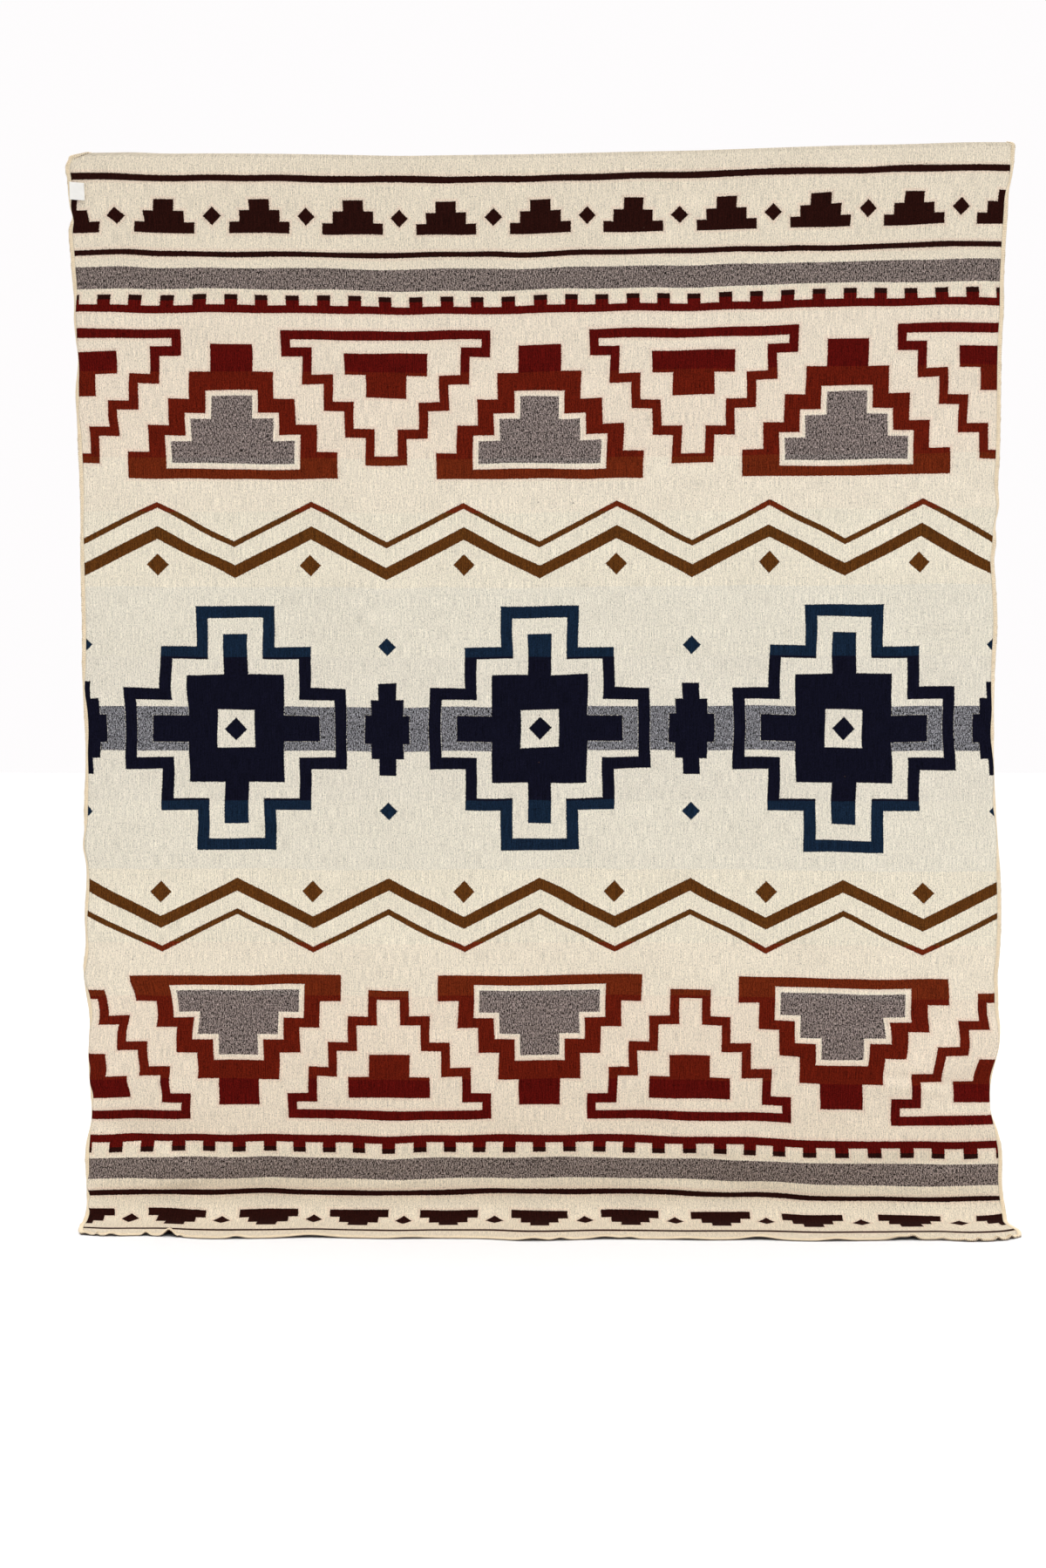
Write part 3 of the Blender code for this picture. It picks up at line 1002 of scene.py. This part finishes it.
class Design:
    """What both faces of the cloth share: where they are, and which yarn lies on top there."""

    def __init__(self, finish):
        self.u, self.v = finish.on_cloth()
        self.grain = finish.noise(self.u, self.v, GRAIN_CLOUDS)
        self.cloud = finish.noise(self.u, self.v, SLOW_CLOUDS)
        fray = self.grain * FRAY
        wander = self.cloud * WANDER
        u = self.u + wander
        d = abs(self.v - wander - HALF_LENGTH)
        x = to_nearest(u, CROSS_PITCH)
        between = CROSS_PITCH / 2 - x
        cross_motif, cross_band = crosses(x, between, d)
        pyramid_motif, pyramid_core = pyramids(x, between, d)
        border_motif, border_band = borders(u, d)
        motif = least(cross_motif, zigzags(u, d), pyramid_motif, border_motif) + fray
        heather = least(cross_band, pyramid_core, border_band) + fray
        to_edge = least(HALF_CUT - abs(self.u), HALF_LENGTH - abs(self.v - HALF_LENGTH))
        self.from_middle = d
        self.motif = 1 - finish.soft_step(motif, -HALF_BLUR, HALF_BLUR)
        self.heather = 1 - finish.soft_step(heather, -HALF_BLUR, HALF_BLUR)
        self.in_seam = 1 - finish.soft_step(to_edge, *SEAM_END)
        # painted shade along the seam's needle line
        self.needle_painted_shade = 1 - finish.soft_step(abs(to_edge - NEEDLE_LINE), *NEEDLE_PAINTED_SHADE_SPAN)
        # painted shade across the fold of the top edge
        self.top_fold_painted_shade = 1 - finish.soft_step(self.v, *TOP_FOLD_PAINTED_SHADE_SPAN)
        red = finish.soft_step(d, *REDS)
        self.blush = (1 - finish.soft_step(motif, 0.0, BLUSH_REACH)) * red * BLUSH_SHARE


# %% [markdown]
# Yarn is thicker in one place and thinner in another, so the cloth shows fine streaks both ways,
# and a few dark specks of stray fibre. The reverse has the same drawing with its colours
# exchanged. Only the streaks and the threads have relief, which keeps the bump quick to work out.

# %% Specks and threads
SPECK_CELLS = 16.0  # for each metre
SPECK_RADIUS = (0.010, 0.024)  # in cells, where it starts to fade and where it ends
SPECK_CHANCE = (0.955, 0.965)
WARP_SPACING = 0.0021
WEFT_SPACING = 0.0018


def specks(finish, u, v):
    """One speck in a few of the cells of a Voronoi pattern, chosen by the cell's random colour."""
    spot = finish.node("CombineXYZ", X=u, Y=v)
    cells = finish.node(
        "TexVoronoi", {"voronoi_dimensions": "2D"}, Vector=spot.outputs[0], Scale=SPECK_CELLS
    )
    chance = finish.node("SeparateXYZ", None, Vector=cells.outputs["Color"])
    near = 1 - finish.soft_step(Amount(finish, cells.outputs["Distance"]), *SPECK_RADIUS)
    return near * finish.soft_step(Amount(finish, chance.outputs["X"]), *SPECK_CHANCE)


def ridges(finish, place, spacing):
    """Threads side by side: a sine of the place, with one wave for each spacing."""
    return finish.maths("SINE", place * (2 * math.pi / spacing))


# %% The two faces of the cloth
LONG_CLOUDS = (600.0, 34.0)  # thick places of the yarn, for each metre across and down
SHORT_CLOUDS = (560.0, 190.0)

# How much the long ones, the short ones and the grain change the tone of the cloth and the heather
STREAK_SHARES = (0.36, 0.30, 0.44)
PEPPER_SHARES = (0.9, 2.8, 3.6)
YARN_STREAKS = 2.4  # how much stronger the streaks are in the coloured yarn than in the cream
CLOUD_TINT = 0.05
SHORT_IN_THIN = 0.6  # how far short thin places let the yarn under the cream show
THIN = (0.18, 0.42)
SHOWS_SHARE = 0.22
SPECK_SHARE = 0.85
SEAM_STREAKS = 0.6
SEAM_TONE = 0.92
# how much the painted shade darkens the needle line and the top fold
PAINTED_SHADE_DEPTH = 0.20
THREAD_RELIEF = 0.2  # in steps of WOOL_RELIEF, as the grain's
GRAIN_RELIEF = 1.4
WOOL_RELIEF = 0.0004
WOOL_ROUGHNESS = 0.93


def cloth_finish(name, reverse):
    """Brushed wool with the design: yarn on cream in front, and cream on yarn on the reverse."""
    finish = Finish(name)
    design = Design(finish)
    u, v, grain = design.u, design.v, design.grain
    long_run = finish.noise(u, v, LONG_CLOUDS)
    short_run = finish.noise(u, v, SHORT_CLOUDS)
    streaks = together((long_run, short_run, grain), STREAK_SHARES)
    pepper = together((long_run, short_run, grain), PEPPER_SHARES)

    yarn, cream, heather = (by_weft(finish, design.from_middle, column) for column in (1, 2, 3))
    yarn = finish.shade(yarn, streaks * YARN_STREAKS + 1.0)
    cream = finish.shade(cream, streaks + design.cloud * CLOUD_TINT + 1.0)
    heather = finish.shade(heather, pepper + 1.0)
    shows = finish.soft_step(-grain - short_run * SHORT_IN_THIN, *THIN)
    cream = finish.mix(shows * SHOWS_SHARE, cream, yarn)
    if reverse:
        colour = finish.mix(design.motif, yarn, cream)
    else:
        colour = finish.mix(design.motif, finish.mix(design.blush, cream, BLUSH), yarn)
    colour = finish.mix(design.heather, colour, heather)
    if not reverse:
        colour = finish.mix(specks(finish, u, v) * SPECK_SHARE, colour, NEP)
    sewn = finish.shade(SEAM_CREAM, streaks * SEAM_STREAKS + SEAM_TONE)
    colour = finish.mix(design.in_seam, colour, sewn)
    # painted shade on both faces: darker along the needle line and across the top fold
    colour = finish.shade(colour, 1 - most(design.needle_painted_shade, design.top_fold_painted_shade) * PAINTED_SHADE_DEPTH)

    threads = ridges(finish, u, WARP_SPACING) * ridges(finish, v, WEFT_SPACING)
    height = threads * THREAD_RELIEF + grain * GRAIN_RELIEF
    finish.shader.inputs["Sheen Weight"].default_value = 0.01
    finish.shader.inputs["Specular IOR Level"].default_value = 0.03
    return finish.done(colour, WOOL_ROUGHNESS - grain * 0.1, height, WOOL_RELIEF)


# %% [markdown]
# The seam's thread is cream on the front and brown behind, as brown painted shade, because a thin
# brown line shows under the hem. Each stitch also gets painted shade at its two ends, where it
# dives into the cloth and where it turns round the edge. Its UV map says how far behind and how
# far out each point of a stitch lies. The ribbon is satin: smoother than wool, with fine ribs that
# a bump can carry.

# %% The finish of the thread
FINE_PLIES = 900.0  # clouds for each metre
SLOW_TONES = 60.0
BROWN_PAINTED_SHADE_SPAN = (0.45, 0.75)  # from 0 in front to 1 behind: where the cream ends and the brown painted shade begins
INNER_PAINTED_SHADE_SPAN = (0.0, 0.45)  # shares of its width over which each end's painted shade fades: the end on the cloth, and the one at the edge
OUTER_PAINTED_SHADE_SPAN = (0.85, 1.0)
THREAD_RIDGE = 0.0002


def thread_finish(name):
    """Plied wool thread: fine ridges, slow changes of tone, painted shade at both ends of each stitch,
    and brown painted shade behind.
    """
    finish = Finish(name)
    spot = finish.node("TexCoord").outputs["Object"]
    fine, slow = (
        Amount(finish, finish.node("TexNoise", None, Vector=spot, Scale=scale, Detail=0.0).outputs[0])
        for scale in (FINE_PLIES, SLOW_TONES)
    )
    behind, outward = finish.on_cloth()
    # painted shade: each stitch is darker where it dives into the cloth, and a little darker where it
    # turns round the edge
    rise, fall = finish.soft_step(outward, *INNER_PAINTED_SHADE_SPAN), finish.soft_step(outward, *OUTER_PAINTED_SHADE_SPAN)
    tone = (fine * 0.24 + slow * 0.16 + 0.80) * (rise * 0.14 - fall * 0.10 + 0.90)
    # brown painted shade on the back of each stitch
    colour = finish.mix(finish.soft_step(behind, *BROWN_PAINTED_SHADE_SPAN), SEAM_CREAM, SEAM_PAINTED_SHADE)
    finish.shader.inputs["Specular IOR Level"].default_value = 0.12
    return finish.done(finish.shade(colour, tone), tone * 0.2 + 0.7, fine, THREAD_RIDGE)


# %% The finish of the ribbon
RIB_SPACING = 0.0007
RIBBON_WEFT_SPACING = 0.0009
RIBBON_BORDER = (0.0014, 0.0019)
DIRT_CLOUDS = (150.0, 150.0)
RIBBON_RELIEF = 0.00012


def ribbon_finish(name):
    """White satin ribbon: fine ribs both ways, and a closer woven border at its two edges."""
    finish = Finish(name)
    run, down = finish.on_cloth()
    rib = ridges(finish, down, RIB_SPACING)
    weft = ridges(finish, run, RIBBON_WEFT_SPACING)
    border = 1 - finish.soft_step(least(down, LABEL_HEIGHT - down), *RIBBON_BORDER)
    dirt = finish.noise(run, down, DIRT_CLOUDS)
    tone = 0.97 + together((rib, weft, border, dirt), (0.012, 0.012, 0.03, 0.05))
    finish.shader.inputs["Specular IOR Level"].default_value = 0.4
    height = together((rib, weft, border), (0.4, 0.3, 1.0))
    return finish.done(finish.shade(RIBBON_WHITE, tone), 0.48 - border * 0.06, height, RIBBON_RELIEF)


# %% [markdown]
# The panel's first material slot is its front, and Solidify takes the next one for the reverse
# and the one after it for the rim, which the seam covers.

# %% Each piece gets its finish
front = cloth_finish("wool_front", reverse=False)
back = cloth_finish("wool_reverse", reverse=True)
thread = thread_finish("overlock_wool")
ribbon = ribbon_finish("label_satin")
for finish in (front, back, thread):
    woven_panel.data.materials.append(finish)
for seam in seams:
    seam.data.materials.append(thread)
label.data.materials.append(ribbon)
print("nodes in the cloth's finish:", len(front.node_tree.nodes))

# %% [markdown]
# The stage is a pale floor and a white surrounding. Most of the light is soft and comes from
# above the camera, as from a big studio lamp. A softer lamp straight overhead lights the hem and
# the floor, a weak bluish one in front fills the shades, and a lamp behind the throw keeps the
# paper there white, as a studio lights its background.

# %% The floor and the white room
FLOOR_HALF = 14.0
WORLD_LIGHT = 0.38


def stage_floor():
    """A flat grid of one face, at the height of the cloth's lowest point."""
    side = np.linspace(-FLOOR_HALF, FLOOR_HALF, 2)
    x, y = np.meshgrid(side, side[::-1])
    floor = grid_piece("floor", np.stack([x, y, np.full_like(x, FLOOR)], axis=-1))
    finish = Finish("floor_paper")
    finish.shader.inputs["Base Color"].default_value = (0.96, 0.96, 0.97, 1.0)
    finish.shader.inputs["Roughness"].default_value = 0.9
    finish.shader.inputs["Specular IOR Level"].default_value = 0.0
    floor.data.materials.append(finish.material)
    return floor


def white_world():
    """A white surrounding that lights the scene less than it shows."""
    world = bpy.data.worlds.new("white_room")
    world.use_nodes = True
    bpy.context.scene.world = world
    tree = world.node_tree
    light = tree.nodes["Background"]
    light.inputs["Color"].default_value = (0.98, 0.98, 1.0, 1.0)
    light.inputs["Strength"].default_value = WORLD_LIGHT
    shown = tree.nodes.new("ShaderNodeBackground")
    shown.inputs["Color"].default_value = (0.99, 0.975, 0.98, 1.0)
    either = tree.nodes.new("ShaderNodeMixShader")
    ray = tree.nodes.new("ShaderNodeLightPath")
    tree.links.new(ray.outputs["Is Camera Ray"], either.inputs[0])
    tree.links.new(light.outputs[0], either.inputs[1])
    tree.links.new(shown.outputs[0], either.inputs[2])
    tree.links.new(either.outputs[0], tree.nodes["World Output"].inputs[0])


stage = stage_floor()
white_world()

# %% The lamps
KEY_STRENGTH = 1.465
KEY_WARM = (1.0, 0.985, 0.96)
FILL_POWER = 8.0
FILL_BLUE = (0.6, 0.78, 1.0)
OVERHEAD_STRENGTH = 1.1
PAPER_POWER = 24.0


def add_light(name, kind, strength, place=(0, 0, 0), turn=(0, 0, 0), **settings):
    """A lamp at a place, turned by degrees about X, Y and Z from looking straight down."""
    lamp = bpy.data.lights.new(name, kind)
    lamp.energy = strength
    for setting, value in settings.items():
        setattr(lamp, setting, value)
    holder = bpy.data.objects.new(name, lamp)
    holder.location = place
    holder.rotation_euler = [math.radians(angle) for angle in turn]
    bpy.context.scene.collection.objects.link(holder)


add_light("key", "SUN", KEY_STRENGTH, turn=(32, 0, 16), angle=math.radians(40), color=KEY_WARM)
add_light(
    "fill", "AREA", FILL_POWER, place=(0.9, -2.8, 0.10), turn=(80, 0, 14), size=1.6, color=FILL_BLUE
)
add_light("overhead", "SUN", OVERHEAD_STRENGTH, angle=math.radians(60))
add_light(
    "paper", "AREA", PAPER_POWER, place=(0, 1.3, FLOOR + 1.6), shape="RECTANGLE", size=2.0, size_y=1.2
)

# %% [markdown]
# The camera stands four metres in front of the throw, at the height of its middle, and looks a
# little down. Its focal length is known in pixels of the picture, so the share of the picture's
# height turns it into millimetres on the sensor.

# %% The camera
CAMERA_DISTANCE = 4.0
CAMERA_HEIGHT = 1.045
CAMERA_ASIDE = -0.030
CAMERA_DOWN = 3.6  # degrees
IMAGE_HEIGHT = 1799
FOCAL_PIXELS = 2546.0
SENSOR = 36.0
camera_data = bpy.data.cameras.new("camera")
camera_data.sensor_fit = "VERTICAL"
camera_data.sensor_height = SENSOR
camera_data.lens = FOCAL_PIXELS / IMAGE_HEIGHT * SENSOR
camera = bpy.data.objects.new("camera", camera_data)
camera.location = (CAMERA_ASIDE, -CAMERA_DISTANCE, FLOOR + CAMERA_HEIGHT)
camera.rotation_euler = (math.radians(90 - CAMERA_DOWN), 0, 0)
bpy.context.scene.collection.objects.link(camera)
bpy.context.scene.camera = camera
bpy.context.scene.view_settings.view_transform = "Standard"
print(f"lens {camera_data.lens:.1f} mm")

# %% [markdown]
# Last, all pieces ride on the one body, and the solids of the panel and the label are hidden.

# %% One body for the pieces, and the solids hidden
for piece in (woven_panel, *seams, label):
    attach(piece, "root")
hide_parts("throw_panel")
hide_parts("label")
